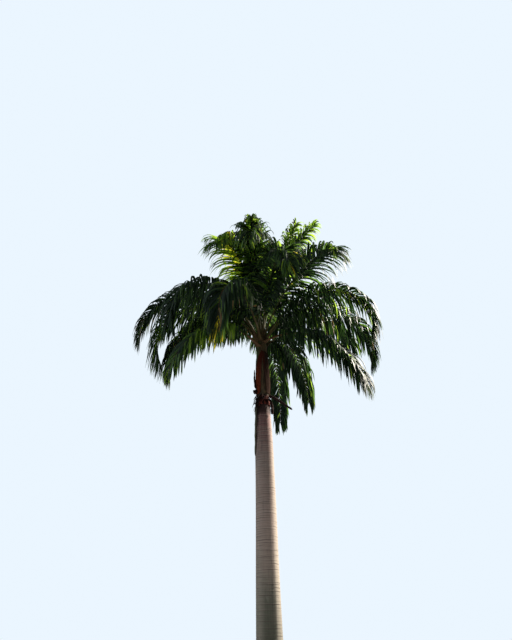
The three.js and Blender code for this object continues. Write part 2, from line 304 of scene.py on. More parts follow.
def swept(route, hint, wide, thick, columns):
    """Rings of oval sections along routes, an array of limbs x points x 3. A section's side is at
    right angles to the route and to `hint`, and its back to both. Point k of a ring is the route's
    point plus back * thick * cos(turn) + side * wide * sin(turn), at turn = 2 pi k / columns."""
    along = unit(np.gradient(route, axis=1))
    side = unit(np.cross(along, hint))
    back = np.cross(side, along)
    turn = np.linspace(0, 2 * np.pi, columns, endpoint=False)[:, None]
    wide, thick = [np.broadcast_to(r, route.shape[:2])[..., None, None] for r in (wide, thick)]
    ring = back[:, :, None] * np.cos(turn) * thick + side[:, :, None] * np.sin(turn) * wide
    return route[:, :, None] + ring


def smooth_through(knots, x):
    """Values at x on a smooth curve through the knots (x, value): a cubic between two knots, whose
    slope at each knot is that of the parabola through it and the knots on both sides of it. At an
    end knot it is the slope of the straight line to the next one."""
    at, value = np.array(knots, float).T
    slope = np.gradient(value, at)
    i = np.clip(np.searchsorted(at, x, side="right") - 1, 0, len(at) - 2)
    width = at[i + 1] - at[i]
    t = (x - at[i]) / width
    ends = value[i] * (1 + 2 * t) * (1 - t) ** 2 + value[i + 1] * t**2 * (3 - 2 * t)
    return ends + width * t * (1 - t) * (slope[i] * (1 - t) - slope[i + 1] * t)


def step(x, low, high):
    """0 below low, 1 above high, and 3 t^2 - 2 t^3 between them."""
    t = np.clip((x - low) / (high - low), 0, 1)
    return t * t * (3 - 2 * t)


# %% [markdown]
# ## The trunk
# A royal-type palm has no bark that cracks and peels. Its trunk is a smooth grey column, ringed by
# the scars of fallen leaves, 5 cm apart near the top and 6 cm lower down. A bump map would draw
# them, but the trunk's lit edge would stay straight. So the rings are real relief: each is a groove
# with a lip above it that waves and tilts a little as it runs round.

# %% Lean and outlines
LEAN = -0.017
TRUNK_OUTLINE = [
    (0, 0.64),
    (0.3, 0.58),
    (0.8, 0.54),
    (1.5, 0.51),
    (3.2, 0.454),
    (4.8, 0.412),
    (5.7, 0.386),
    (6.2, 0.34),
    (6.5, 0.29),
]


def on_stem(heading, height, radius):
    """Points at a radius from the leaning axis, which is LEAN * height off the origin along X.
    Heading in radians, counted from +X towards +Y."""
    heading, height, radius = np.broadcast_arrays(heading, height, radius)
    x = LEAN * height + radius * np.cos(heading)
    return np.stack([x, radius * np.sin(heading), height], -1)


print("trunk outline:", TRUNK_OUTLINE[-1][0], "m high,", TRUNK_OUTLINE[0][1], "m wide at its foot")

# %% [markdown]
# A leaf leaves its scar all round the trunk, and the palm drops a leaf every few weeks, so the rings
# are evenly spaced with a little chance in them. Each has its own tilt, ripple and strength, and
# fades on two sides, because scars heal over.

# %% Ring scars
SEED = 20
RING_SPACING = (0.06, 0.046)
RING_JITTER = 0.33
RING_DEPTH = 0.005
RING_WIDTH = 0.006
LIP_AWAY = 2
LIP_SHARE = 0.5
TILT = (0.001, 0.006)
RIPPLE = (0.0005, 0.002)
TRUNK_ROWS = 1300
TRUNK_COLUMNS = 72


def ring_heights(dice, low, high):
    """Heights of the scars: even steps in the number of rings climbed, which is the integral of one
    ring over the spacing there, moved up or down by up to RING_JITTER of a spacing."""
    heights = np.linspace(low, high, 400)
    spacing = np.interp(heights, (low, high), RING_SPACING)
    climbed = np.cumsum((heights[1] - heights[0]) / spacing)
    rings = np.interp(np.arange(1, climbed[-1]), climbed, heights)
    jitter = dice.uniform(-RING_JITTER, RING_JITTER, len(rings))
    return rings + jitter * np.interp(rings, (low, high), RING_SPACING)


def scars(dice, heading, height, rings):
    """How deep each point lies in a scar, and how far it stands out on the lip above one, both from
    0 to 1. With d the height above a ring's waving line, over RING_WIDTH, the groove is exp(-d^2)
    and the lip exp(-(d - LIP_AWAY)^2). The waving line is a tilt and a ripple, each with its own
    size and phase, and a ring's strength swells and fades twice on its way round."""
    count = len(rings)
    tilt, ripple, fade = dice.uniform(0, 2 * np.pi, (3, count))
    high = dice.uniform(*TILT, count) * np.cos(heading[:, None] - tilt)
    high = high + dice.uniform(*RIPPLE, count) * np.sin(3 * heading[:, None] + ripple)
    away = (height[:, None, None] - rings - high) / RING_WIDTH
    swell = 0.68 + 0.32 * np.cos(2 * heading[:, None] + fade)
    strong = dice.uniform(0.5, 1, count) ** 1.2 * swell
    groove = (strong * np.exp(-(away**2))).max(-1)
    lip = (strong * np.exp(-((away - LIP_AWAY) ** 2))).max(-1)
    return groove, lip


# %% Trunk mesh
LOWEST_RING = 0.12
TRUNK_SWELLING = 0.004


def trunk_mesh():
    """The outline turned round the leaning axis, less the scars, plus their lips, and with three
    shallow swellings round the trunk that drift as they climb."""
    dice = np.random.default_rng(SEED)
    heading = np.linspace(0, 2 * np.pi, TRUNK_COLUMNS, endpoint=False)
    height = np.linspace(0, TRUNK_OUTLINE[-1][0], TRUNK_ROWS)
    rings = ring_heights(dice, LOWEST_RING, height[-1])
    groove, lip = scars(dice, heading, height, rings)
    uneven = np.sin(3 * heading + 0.9 * height[:, None]) * np.sin(1.3 * height[:, None])
    radius = smooth_through(TRUNK_OUTLINE, height)[:, None] / 2 + TRUNK_SWELLING * uneven
    radius = radius + RING_DEPTH * (LIP_SHARE * lip - groove)
    points = on_stem(heading, height[:, None], radius)
    print("trunk:", len(rings), "ring scars, radius", radius.min().round(3), radius.max().round(3))
    poles = np.zeros(2)
    return (*closed(points[None]), {"scar": np.append(groove, poles), "lip": np.append(lip, poles)})


# %% [markdown]
# Up close the surface is a matt skin with fine horizontal lines, dark in the scars, with a painted
# highlight on the old lips where they catch the light. The upper trunk is brown with a touch of
# mauve, the lower third weathers to a greener grey with pale lichen, and painted shade darkens its
# foot. The sunlit side has a painted highlight, painted light makes the left side paler, and the
# very top, just under the collar, is darker.
# The scar and lip values come from the mesh itself, so that colour and relief agree. The zones go
# by height and side, with noise added so that none of them ends in a straight line.

# %% Bark paint
# Each zone of the bark starts at the first number and is full at the second: heights above the
# ground, and for the last two, distances to the right of the trunk's axis.
MOSSY = (5.2, 2.7)
STAINED = (5.5, 6.6)
# Painted shade darkening the foot.
PAINTED_FOOT_SHADE = (3.5, 1.9)
# A darker band at the very top of the trunk, just under the collar.
DARK_TOP = (6.34, 6.44)
# Painted highlight on the sunlit right side.
PAINTED_SUNLIGHT = (0.14, 0.185)
# Painted light on the left side.
PAINTED_LEFT_LIGHT = (0.0, -0.14)


def bark_paint():
    """Tan, mauve near the top, mossy grey-green low down, blotched, streaked along and across, dark
    in the scars and darker at the very top. Painted shade darkens the foot, painted highlights make
    the lips and the sunlit side paler, and painted light makes the left side paler. Each zone is a
    smooth step of a height, or a distance from the axis, with noise added."""
    paint = Paint("bark")
    height = paint.height()
    cloudy = paint.noise((2.2, 2.2, 1.1), 5, 0.6)
    across = paint.noise((3, 3, 85), 4, 0.7)
    down = paint.noise((34, 34, 1.6), 4, 0.6)
    lichen = paint.noise((9, 9, 6), 8, 0.65).between(0.58, 0.72)
    mossy = (height + 1.4 * cloudy).between(*MOSSY)
    stained = (height + 0.9 * cloudy).between(*STAINED)
    painted_foot_shade = (height + 0.5 * cloudy).between(*PAINTED_FOOT_SHADE)
    dark_top = (height + 0.25 * down).between(*DARK_TOP)
    right = paint.sideways() - LEAN * height
    painted_sunlight = (right + 0.04 * cloudy).between(*PAINTED_SUNLIGHT)
    painted_left_light = (right + 0.1 * cloudy).between(*PAINTED_LEFT_LIGHT)
    colour = paint.blend(mossy, (0.31, 0.225, 0.195), (0.11, 0.112, 0.088))
    colour = paint.blend(stained * 0.9, colour, (0.185, 0.06, 0.062))
    colour = paint.blend(cloudy.between(0.42, 0.7) * 0.4, colour, (0.15, 0.11, 0.095))
    lines = across.between(0.4, 0.7) * (0.4 - 0.25 * mossy)
    colour = paint.blend(lines, colour, (0.46, 0.38, 0.32))
    runs = down.between(0.48, 0.72) * (0.3 + 0.35 * mossy)
    colour = paint.blend(runs, colour, (0.055, 0.055, 0.045))
    colour = paint.blend(lichen * 0.3, colour, (0.30, 0.31, 0.25))
    # Painted highlight: the lips of the scars paler, where they catch the light.
    colour = paint.blend(paint.mark("lip") * (0.5 - 0.35 * mossy), colour, (0.50, 0.43, 0.37))
    # Painted shade at the foot, weaker on the sunlit side and on the left side.
    dark = painted_foot_shade * (0.78 - 0.25 * painted_sunlight - 0.3 * painted_left_light)
    colour = paint.blend(dark, colour, (0.024, 0.029, 0.02))
    # Painted light: the left side a little paler.
    colour = paint.blend(painted_left_light * 0.22, colour, (0.34, 0.31, 0.27))
    # Painted highlight: the sunlit right side paler.
    colour = paint.blend(painted_sunlight * (0.55 - 0.3 * painted_foot_shade), colour, (0.46, 0.40, 0.33))
    colour = paint.blend(paint.mark("scar") * 0.9, colour, (0.05, 0.032, 0.03))
    # Darker at the very top, just under the collar.
    colour = paint.blend(dark_top * 0.9, colour, (0.035, 0.014, 0.012))
    relief = paint.relief(across * 0.6 + down * 0.3 + lichen * 0.15, 0.004)
    return paint.finish(colour, 0.95 - 0.2 * across, relief, looks={"Specular IOR Level": 0.3})


points, faces, marks = trunk_mesh()
trunk = add_piece("trunk_rings", points, faces, [bark_paint()], "bark", ["trunk"], marks=marks)
print("trunk:", triangles(trunk), "triangles")

# %% [markdown]
# ## The collar
# Where the crownshaft meets the trunk, torn sheaths leave a waist wrapped in ragged dark fibre. It
# could be one rough ring, but what the eye reads is the fringe: strips that lie down over the top
# of the trunk, and a few that stand off it. So the ring is a fluted solid, and the fringe is nearly
# two hundred thin strips, each a flat limb along a falling curve.

# %% Collar ring
COLLAR_OUTLINE = [(6.5005, 0.31), (6.56, 0.328), (6.64, 0.28), (6.69, 0.258), (6.74, 0.262)]
COLLAR_ROWS = 26
COLLAR_COLUMNS = 120


def flutes(dice, heading, counts, size):
    """An uneven ripple round the stem: a sum of size * sin(count * heading + phase)."""
    phase = dice.uniform(0, 2 * np.pi, len(counts))
    waves = np.sin(np.multiply.outer(heading, counts) + phase)
    return size * waves.sum(-1) / np.sqrt(len(counts))


def collar_mesh():
    """The collar's outline with two layers of flutes, the second one twisted by half a turn to the
    metre."""
    dice = np.random.default_rng([SEED, 1])
    heading = np.linspace(0, 2 * np.pi, COLLAR_COLUMNS, endpoint=False)
    height = np.linspace(COLLAR_OUTLINE[0][0], COLLAR_OUTLINE[-1][0], COLLAR_ROWS)[:, None]
    radius = smooth_through(COLLAR_OUTLINE, height) / 2
    radius = radius + flutes(dice, heading, (9, 14, 23), 0.003)
    radius = radius + flutes(dice, heading + 3 * height, (17, 31, 44), 0.0022)
    return closed(on_stem(heading, height, radius)[None])


# %% Fringe
FRINGE_STRIPS = 190
FRINGE_LOW = 6.47
FRINGE_HIGH = 6.77
# The collar's outline, with the trunk just below it and the crownshaft just above it, because some
# strips have their feet there.
FRINGE_OUTLINE = [(FRINGE_LOW, 0.296), *COLLAR_OUTLINE[:-1], (FRINGE_HIGH, 0.272)]
STRIP_ROWS = 7
STRIP_COLUMNS = 6
STRIP_HALF_WIDTH = (0.004, 0.013)
STRIP_HALF_THICKNESS = 0.0016
STRIP_SWAY = 0.06
TUFT_STRIPS = 26
TUFT_HEADING = 200
TUFT_SPREAD = 0.15
TUFT_WIDER = 3.0


def fringe_mesh():
    """Strips with their feet on the collar and next to it. Each starts outwards and turns down as
    the square root of the way along it, and reaches out further the greater its own stand-off.
    Its half width falls as 1 - t^3, to a twentieth at its tip. The first TUFT_STRIPS of them are
    gathered in a tuft on the left, where they are wider and stand off more."""
    dice = np.random.default_rng([SEED, 2])
    heading = dice.uniform(0, 2 * np.pi, FRINGE_STRIPS)
    height = dice.uniform(FRINGE_LOW, FRINGE_HIGH, FRINGE_STRIPS)
    stand = dice.uniform(0.1, 1, FRINGE_STRIPS) ** 3
    tuft = np.arange(FRINGE_STRIPS) < TUFT_STRIPS
    gathered = np.radians(TUFT_HEADING) + TUFT_SPREAD * (heading - np.pi)
    heading = np.where(tuft, gathered, heading)
    stand = np.where(tuft, 0.3 + 0.5 * stand, stand)
    length = (0.06 + 0.26 * dice.uniform(0, 1, FRINGE_STRIPS) ** 2) * (1 - 0.3 * stand)
    wide = dice.uniform(*STRIP_HALF_WIDTH, FRINGE_STRIPS) * np.where(tuft, TUFT_WIDER, 1)
    radius = smooth_through(FRINGE_OUTLINE, height) / 2
    out = np.stack([np.cos(heading), np.sin(heading), 0 * heading], -1)
    t = np.linspace(0, 1, STRIP_ROWS)
    down = np.sqrt(t) * (1 - 0.35 * stand[:, None])
    tilt = 1.1 * stand[:, None] * (1 - down) + 0.05
    steps = out[:, None] * tilt[..., None] - down[..., None] * (0, 0, 1)
    steps = steps + dice.normal(0, STRIP_SWAY, (FRINGE_STRIPS, 1, 3))
    climb = np.cumsum(unit(steps) * length[:, None, None] / len(t), axis=1)
    route = on_stem(heading, height, radius)[:, None] + climb
    hint = out[:, None] + (0, 0, 1)
    thin = np.clip(1 - t**3, 0.05, 1)
    wide = wide[:, None] * thin
    return closed(swept(route, hint, wide, STRIP_HALF_THICKNESS * thin, STRIP_COLUMNS))


# %% [markdown]
# Dead fibre is the plainest finish here: dry, streaked along its length and nearly black in the
# shade, with a red-brown cast where it has broken open. One function with two pairs of colours
# gives both, so that strips and ring stay of one kind.

# %% Dead fibre paint
def fibre_paint(name, dark, light):
    """Dry dark fibre: streaks that run down, from dark to light, dusty where the noise is high."""
    paint = Paint(name)
    down = paint.noise((120, 120, 7), 4, 0.6)
    cloudy = paint.noise((9, 9, 9), 3, 0.5)
    colour = paint.blend(down.between(0.35, 0.7), dark, light)
    colour = paint.blend(cloudy.between(0.55, 0.75) * 0.4, colour, (0.08, 0.035, 0.025))
    relief = paint.relief(down, 0.002)
    return paint.finish(colour, 0.9 - 0.15 * cloudy, relief, looks={"Specular IOR Level": 0.05})


fibre = fibre_paint("dead_fibre", (0.010, 0.006, 0.006), (0.045, 0.018, 0.016))
red_fibre = fibre_paint("red_fibre", (0.03, 0.008, 0.006), (0.24, 0.055, 0.04))
collar = add_piece("collar_ring", *collar_mesh(), [red_fibre], "dead_fibre", ["collar"])
fringe = add_piece("collar_fringe", *fringe_mesh(), [fibre], "dead_fibre", ["collar"])
print("collar:", FRINGE_STRIPS, "strips,", triangles(collar, fringe), "triangles")

# %% [markdown]
# ## The fronds' seats and ribs
# A frond's rib is an elastic beam: it leaves the crownshaft steeply and bends over more and more as
# it runs out. Its slope falls from `lift` to `tip` with the power `bend` of the share of its length,
# its heading drifts by `turn` with the square of that share, and adding up short steps in that
# direction gives the curve. One row of numbers for each frond is then enough for rib and leaflets.
# The rows come before the crownshaft, because that swells under each seat.

# %% Ages and fronds
# Height and radius of the seats, length of the longest leaflets, how far they hang, from 0, stiff,
# to 1, straight down, how far in degrees the upper tier of leaflets rises over the lower one, and
# of which kinds the leaflets are: shares of deep, green, fresh, gold and straw.
AGES = {
    "old": (8.05, 0.09, 0.88, 0.95, 20, (0.72, 0.25, 0.025, 0.0, 0.005)),
    "grown": (8.2, 0.08, 0.95, 0.85, 32, (0.70, 0.26, 0.035, 0.0, 0.005)),
    "young": (8.33, 0.062, 1.05, 0.6, 38, (0.44, 0.42, 0.13, 0.01, 0.0)),
    "youngest": (8.44, 0.036, 0.63, 0.55, 40, (0.26, 0.42, 0.31, 0.01, 0.0)),
}
AGE_FACTS = ("seat", "out", "leaf", "hang", "rise", "kinds")
AGES = {age: dict(zip(AGE_FACTS, facts)) for age, facts in AGES.items()}
# name: age, heading of the seat, heading, turn, lift, tip, bend, length
FRONDS = {
    "left_high": ("grown", 220, 230, 0, 52, -105, 1.2, 4.2),
    "left_far": ("grown", 178, 188, 0, 68, -100, 1.3, 4.4),
    "left_low": ("grown", 190, 200, 0, 60, -120, 1.1, 4.1),
    "left_near": ("old", 240, 228, 0, 30, -75, 0.7, 3.6),
    "front_low": ("grown", 262, 250, 0, 50, -110, 1.1, 4.0),
    "front_top": ("youngest", 268, 261, 10, 80, -40, 1.2, 3.8),
    "front_hook": ("young", 236, 264, 0, 80, -80, 1.6, 4.0),
    "left_top": ("young", 196, 245, 0, 83, -65, 1.5, 3.7),
    "front_arch": ("young", 290, 283, 0, 75, -90, 1.3, 3.8),
    "right_spire": ("youngest", 350, 335, 0, 80, 35, 1.6, 3.7),
    "mid_spire": ("youngest", 310, 338, -25, 78, 60, 1.4, 3.5),
    "right_top": ("young", 328, 308, -20, 61, -50, 1.2, 3.7),
    "right_high": ("grown", 326, 339, 0, 63, -112, 1.4, 4.2),
    "right_far": ("grown", 8, 9, 0, 68, -108, 1.3, 4.4),
    "right_near": ("grown", 312, 316, 0, 10, -70, 0.7, 3.7),
    "right_back": ("old", 42, 60, 0, 58, -95, 1.2, 3.6),
    "back_low": ("old", 96, 77, 0, 60, -115, 1.1, 4.0),
    "back_spire": ("youngest", 120, 105, 0, 80, 10, 1.4, 4.0),
    "back_left": ("grown", 110, 140, 0, 70, -50, 1.3, 4.3),
    "back_right": ("grown", 50, 35, 0, 65, -40, 1.2, 4.1),
    "left_back": ("old", 150, 177, 0, 66, -112, 1.1, 3.6),
    "back_top": ("young", 76, 90, 0, 75, -30, 1.3, 3.8),
}
FACTS = ("age", "seat_heading", "heading", "turn", "lift", "tip", "bend", "length")
FRONDS = {name: dict(zip(FACTS, facts)) for name, facts in FRONDS.items()}
lengths = [frond["length"] for frond in FRONDS.values()]
print(len(FRONDS), "fronds,", min(lengths), "to", max(lengths), "m long")

# %% [markdown]
# ## The crownshaft
# Above the trunk a royal-type palm carries a smooth column of wrapped leaf bases, and the newest
# leaves come out of its top. It is not quite round: each base leaves a shallow rib, and the column
# swells under every petiole. A turned outline with those ripples added says this better than a
# lathe does. The colours run along it too, so the mesh carries a value for how fresh the skin is at
# each point: living green on one side, olive brown where the sheaths have started to die.

# %% Crownshaft mesh
CROWNSHAFT_OUTLINE = [
    (6.7405, 0.266),
    (6.84, 0.296),
    (6.95, 0.312),
    (7.2, 0.31),
    (7.7, 0.28),
    (8.05, 0.248),
    (8.25, 0.2),
    (8.4, 0.13),
    (8.47, 0.06),
]
CROWNSHAFT_ROWS = 150
CROWNSHAFT_COLUMNS = 144
GREEN_SIDE = np.radians(190)
SEAT_SWELLING = 0.009
SEAT_WIDTH = 0.3
SEAT_BELOW = 0.12
SEAT_TALL = 0.16


def crownshaft_mesh():
    """The outline with fine flutes, and below each frond's seat a swelling, SEAT_SWELLING *
    exp(-around^2 - above^2), with the heading and the height away from it over the swelling's own
    width and height. The `fresh` value is high on the green side and near the top, and moves to
    and fro with a slow ripple as it climbs."""
    dice = np.random.default_rng([SEED, 3])
    heading = np.linspace(0, 2 * np.pi, CROWNSHAFT_COLUMNS, endpoint=False)
    foot, top = CROWNSHAFT_OUTLINE[0][0], CROWNSHAFT_OUTLINE[-1][0]
    height = np.linspace(foot, top, CROWNSHAFT_ROWS)[:, None]
    radius = smooth_through(CROWNSHAFT_OUTLINE, height) / 2
    radius = radius + flutes(dice, heading + 0.12 * height, (13, 21, 34), 0.0011)
    seats = np.array([[f["seat_heading"], AGES[f["age"]]["seat"]] for f in FRONDS.values()])
    around = np.angle(np.exp(1j * (heading[:, None] - np.radians(seats[:, 0])))) / SEAT_WIDTH
    above = (height[..., None] - seats[:, 1] + SEAT_BELOW) / SEAT_TALL
    radius = radius + SEAT_SWELLING * np.exp(-(around**2) - above**2).max(-1)
    side = 0.5 + 0.5 * np.cos(heading - GREEN_SIDE + 0.25 * np.sin(5 * height))
    fresh = side**3 * step(height, 6.9, 7.5) + 0.4 * step(height, 8.2, 8.4)
    fresh = np.clip(fresh + 0 * heading, 0, 1)
    return (*closed(on_stem(heading, height, radius)[None]), {"fresh": np.append(fresh, (0, 1))})


# %% [markdown]
# The skin of a living sheath is smooth and waxy, with fine lines along it, so its paint keeps the
# shader's own gloss, which the dry parts turn down. Noise moves the line between living and dying
# skin.

# %% Skin paint
def skin_paint():
    """Green to olive brown by the `fresh` value and noise, with fine stripes that run up the column
    and dark specks. Its wax gives a low sheen."""
    paint = Paint("crownshaft_skin")
    stripes = paint.noise((70, 70, 1.6), 4, 0.6)
    cloudy = paint.noise((7, 7, 3), 5, 0.6)
    dead = paint.blend(stripes.between(0.35, 0.68), (0.05, 0.028, 0.012), (0.15, 0.10, 0.045))
    dead = paint.blend(cloudy.between(0.5, 0.72) * 0.35, dead, (0.12, 0.10, 0.035))
    live = paint.blend(stripes.between(0.3, 0.7), (0.045, 0.065, 0.018), (0.11, 0.14, 0.045))
    share = (paint.mark("fresh") + 0.5 * cloudy - 0.25).between(0.3, 0.62)
    colour = paint.blend(share, dead, live)
    spots = paint.noise((30, 30, 12), 6, 0.7).between(0.6, 0.7)
    colour = paint.blend(spots * 0.5, colour, (0.03, 0.015, 0.012))
    return paint.finish(colour, 0.45 + 0.25 * cloudy, paint.relief(stripes, 0.0015))


points, faces, marks = crownshaft_mesh()
crownshaft = add_piece(
    "crownshaft_skin", points, faces, [skin_paint()], "crownshaft_skin", ["crownshaft"], marks=marks
)
print("crownshaft:", triangles(crownshaft), "triangles")

# %% [markdown]
# The oldest leaf base has died, dried to russet and split down its front. It still hugs the column,
# like a coat that is open at the bottom, and the olive column shows in the narrow slit. Right of
# the slit it has bulged and faded to a mauve brown, and further round it is darkened by painted
# shade where the fronds shade it. It is a sheet: one grid from the slit's right edge round the back
# to its left edge, and from its ragged foot to its ragged top. A Solidify modifier would thicken it
# too, but a second grid, further in, lets the edges thin out and curl.

# %% Torn sheath mesh
SHEATH_ROWS = 110
SHEATH_COLUMNS = 132
SHEATH_FOOT = 6.76
SHEATH_TOP = 7.9
SPLIT_HEADING = np.radians(273)
SPLIT_WIDTH = 0.12
SPLIT_APEX = 7.76
CURL_OUT = 0.022
CURL_REACH = 0.03
FLARE_OUT = 0.012
FLARE_REACH = 0.05
LOBE_HEADING = np.radians(318)
LOBE_HEIGHT = 7.1
LOBE_TALL = 0.28
LOBE_OUT = 0.014
# Heading of the side that takes painted shade.
PAINTED_SHADE_HEADING = np.radians(350)
# The top edge dips low at one share of the way round.
DIP_AT = 0.8
DIP_WIDE = 0.09
DIP_DEEP = 0.36
SHEATH_GAP = 0.004
SHEATH_THICK = 0.005


def coat(outer, inner):
    """A closed sheet from two grids of rows x columns x 3. Rows climb, and columns run round
    counter-clockwise as seen from above. The rims are joined by strips of quads."""
    rows, columns = outer.shape[:2]
    index = np.arange(rows * columns).reshape(rows, columns)
    under = index + rows * columns

    def quads(a, b, c, d):
        return np.stack([a, b, c, d], -1).reshape(-1, 4)

    def grid(i):
        return i[:-1, :-1], i[:-1, 1:], i[1:, 1:], i[1:, :-1]

    blocks = [quads(*grid(index)), quads(*grid(under))[:, ::-1]]
    rim = np.concatenate([index[0, :-1], index[:-1, -1], index[-1, :0:-1], index[:0:-1, 0]])
    rim = np.stack([rim, np.roll(rim, -1)], -1)
    blocks.append(np.concatenate([rim[:, ::-1], rim + rows * columns], axis=1))
    points = np.concatenate([outer.reshape(-1, 3), inner.reshape(-1, 3)])
    return points, blocks


def facing(heading, towards, low, high):
    """How far a heading faces `towards`: a smooth step of 0.5 + 0.5 cos(angle between them)."""
    return step(0.5 * np.cos(heading - towards) + 0.5, low, high)


def sheath_mesh():
    """Rows climb from foot to top, columns run round from edge to edge. At height z the slit is
    half(z) = WIDTH / 2 * ((APEX - z) / (APEX - FOOT))^0.8 to each side of its heading, with a slow
    wave. The sheet stands off by a gap, by flutes, by a curl that grows towards the slit as
    exp(-arc / CURL_REACH), by a flare at its foot, and by a lobe of the height exp(-h^2), with h
    the height above LOBE_HEIGHT over LOBE_TALL. It marks its torn edge, its lobed side and the side
    that takes painted shade, for the paint."""
    dice = np.random.default_rng([SEED, 4])
    climb = np.linspace(0, 1, SHEATH_ROWS)[:, None]
    share = np.linspace(0, 1, SHEATH_COLUMNS)
    share = share + 0.02 * np.sin(2 * np.pi * share)
    ragged = 0.02 + flutes(dice, 2 * np.pi * share, (3, 8, 19, 41), 0.02)
    tattered = flutes(dice, 2 * np.pi * share, (4, 9, 23, 37), 0.03)
    tattered = tattered - DIP_DEEP * np.exp(-(((share - DIP_AT) / DIP_WIDE) ** 2))
    height = SHEATH_FOOT + ragged + climb * (SHEATH_TOP + tattered - SHEATH_FOOT - ragged)
    stem = smooth_through(CROWNSHAFT_OUTLINE, height) / 2
    open_by = np.clip((SPLIT_APEX - height) / (SPLIT_APEX - SHEATH_FOOT), 0, 1) ** 0.8
    wave = 0.006 * np.sin(17 * height) + 0.004 * np.sin(41 * height + 1)
    half = (SPLIT_WIDTH / 2 * open_by + wave * open_by) / stem + 0.004
    heading = SPLIT_HEADING + half + share * (2 * np.pi - 2 * half)
    arc = np.minimum(share, 1 - share) * 2 * np.pi * stem
    lift = np.where(share < 0.5, 1.0, 0.3) * open_by
    curl = CURL_OUT * lift * np.exp(-arc / CURL_REACH) * (1 + 0.3 * np.sin(9 * height))
    side = facing(heading, LOBE_HEADING, 0.55, 0.95)
    lobe = LOBE_OUT * side * np.exp(-(((height - LOBE_HEIGHT) / LOBE_TALL) ** 2))
    flare = FLARE_OUT * np.exp(-(height - SHEATH_FOOT) / FLARE_REACH) * (1 + np.sin(5 * heading))
    ripple = np.abs(flutes(dice, heading, (11, 19, 31), 0.002))
    radius = stem + SHEATH_GAP + curl + lobe + flare + ripple
    thick = SHEATH_THICK * (0.25 + 0.75 * np.clip(arc / 0.02, 0, 1))
    edge = np.exp(-arc / 0.012) * open_by
    painted_shade = facing(heading, PAINTED_SHADE_HEADING, 0.62, 0.88)
    outer = on_stem(heading, height, radius + thick)
    points, blocks = coat(outer, on_stem(heading, height, radius))
    marks = {"edge": edge, "side": side, "painted_shade": painted_shade}
    return points, blocks, {name: np.append(mark, mark) for name, mark in marks.items()}


# %% [markdown]
# Dry, the skin loses its wax, so this finish has no gloss at all: in low sun even a trace of it
# would lay a whitish film over the dark side. What tells the eye that it is a leaf base are its
# stripes, stretched noise that runs up the sheet.

# %% Dry sheath paint
def sheath_paint():
    """Russet skin with stripes along it, mauve brown on the lobed side, maroon towards the top,
    dark at the torn edge, and darkened by painted shade on the right side."""
    paint = Paint("dry_sheath")
    stripes = paint.noise((95, 95, 1.3), 4, 0.65)
    cloudy = paint.noise((6, 6, 3), 5, 0.6)
    colour = paint.blend(stripes.between(0.36, 0.66), (0.07, 0.013, 0.006), (0.33, 0.064, 0.026))
    mauve = paint.blend(stripes.between(0.33, 0.68), (0.06, 0.027, 0.021), (0.16, 0.088, 0.07))
    colour = paint.blend(paint.mark("side"), colour, mauve)
    colour = paint.blend(cloudy.between(0.45, 0.72) * 0.5, colour, (0.05, 0.018, 0.010))
    upper = (paint.height() + 0.35 * cloudy).between(7.4, 7.8)
    colour = paint.blend(upper * 0.8, colour, (0.085, 0.018, 0.011))
    # Painted shade on the right side, where the fronds shade the sheath.
    colour = paint.blend(paint.mark("painted_shade") * 0.9, colour, (0.03, 0.02, 0.016))
    colour = paint.blend(paint.mark("edge") * 0.9, colour, (0.012, 0.008, 0.006))
    relief = paint.relief(stripes + 0.5 * cloudy, 0.003)
    return paint.finish(colour, 0.6 + 0.2 * stripes, relief, looks={"Specular IOR Level": 0.0})


points, faces, marks = sheath_mesh()
sheath = add_piece(
    "torn_sheath", points, faces, [sheath_paint()], "dry_sheath", ["old_sheath"], marks=marks
)
print("sheath:", triangles(sheath), "triangles")

# %% [markdown]
# ## Dead remains
# Five things are left where leaves and flower stalks fell: a long strip down the trunk's left side,
# a stub of a flower stalk, a hook, a knob and an upright sliver. Each follows a curve through a few
# points and is knobbly, so one table and one sweep make them all.

# %% Remains
# name: route, radius at the foot and at the end, thickness as a share of the width, and where its
# flat side looks (degrees)
REMAINS = {
    "hanging_strip": (
        [
            (-0.21, -0.08, 6.74),
            (-0.25, -0.11, 6.56),
            (-0.272, -0.125, 6.2),
            (-0.285, -0.12, 5.75),
            (-0.295, -0.08, 5.3),
        ],
        (0.045, 0.016),
        0.12,
        245,
    ),
    "flower_stub": (
        [(0.016, -0.092, 6.724), (0.16, -0.13, 6.645), (0.34, -0.175, 6.5), (0.545, -0.225, 6.32)],
        (0.032, 0.022),
        1.0,
        0,
    ),
    "dead_hook": (
        [(0.01, -0.095, 6.65), (0.062, -0.128, 6.56), (0.09, -0.135, 6.4), (0.088, -0.13, 6.25)],
        (0.024, 0.036),
        1.0,
        0,
    ),
    "dead_knob": (
        [(-0.24, -0.07, 6.85), (-0.285, -0.075, 6.84), (-0.33, -0.08, 6.815)],
        (0.046, 0.05),
        1.0,
        0,
    ),
    "dead_sliver": (
        [(-0.272, -0.05, 6.92), (-0.31, -0.055, 7.15), (-0.315, -0.06, 7.43)],
        (0.036, 0.011),
        0.6,
        240,
    ),
}
REMAINS_ROWS = 46
REMAINS_COLUMNS = 18


def along_points(knots, t):
    """A smooth curve through points in space, at shares t of the straight way from each point to
    the next."""
    knots = np.array(knots)
    at = np.append(0, np.cumsum(np.linalg.norm(np.diff(knots, axis=0), axis=1)))
    axes = [smooth_through(np.stack([at / at[-1], knots[:, a]], -1), t) for a in range(3)]
    return np.stack(axes, -1)


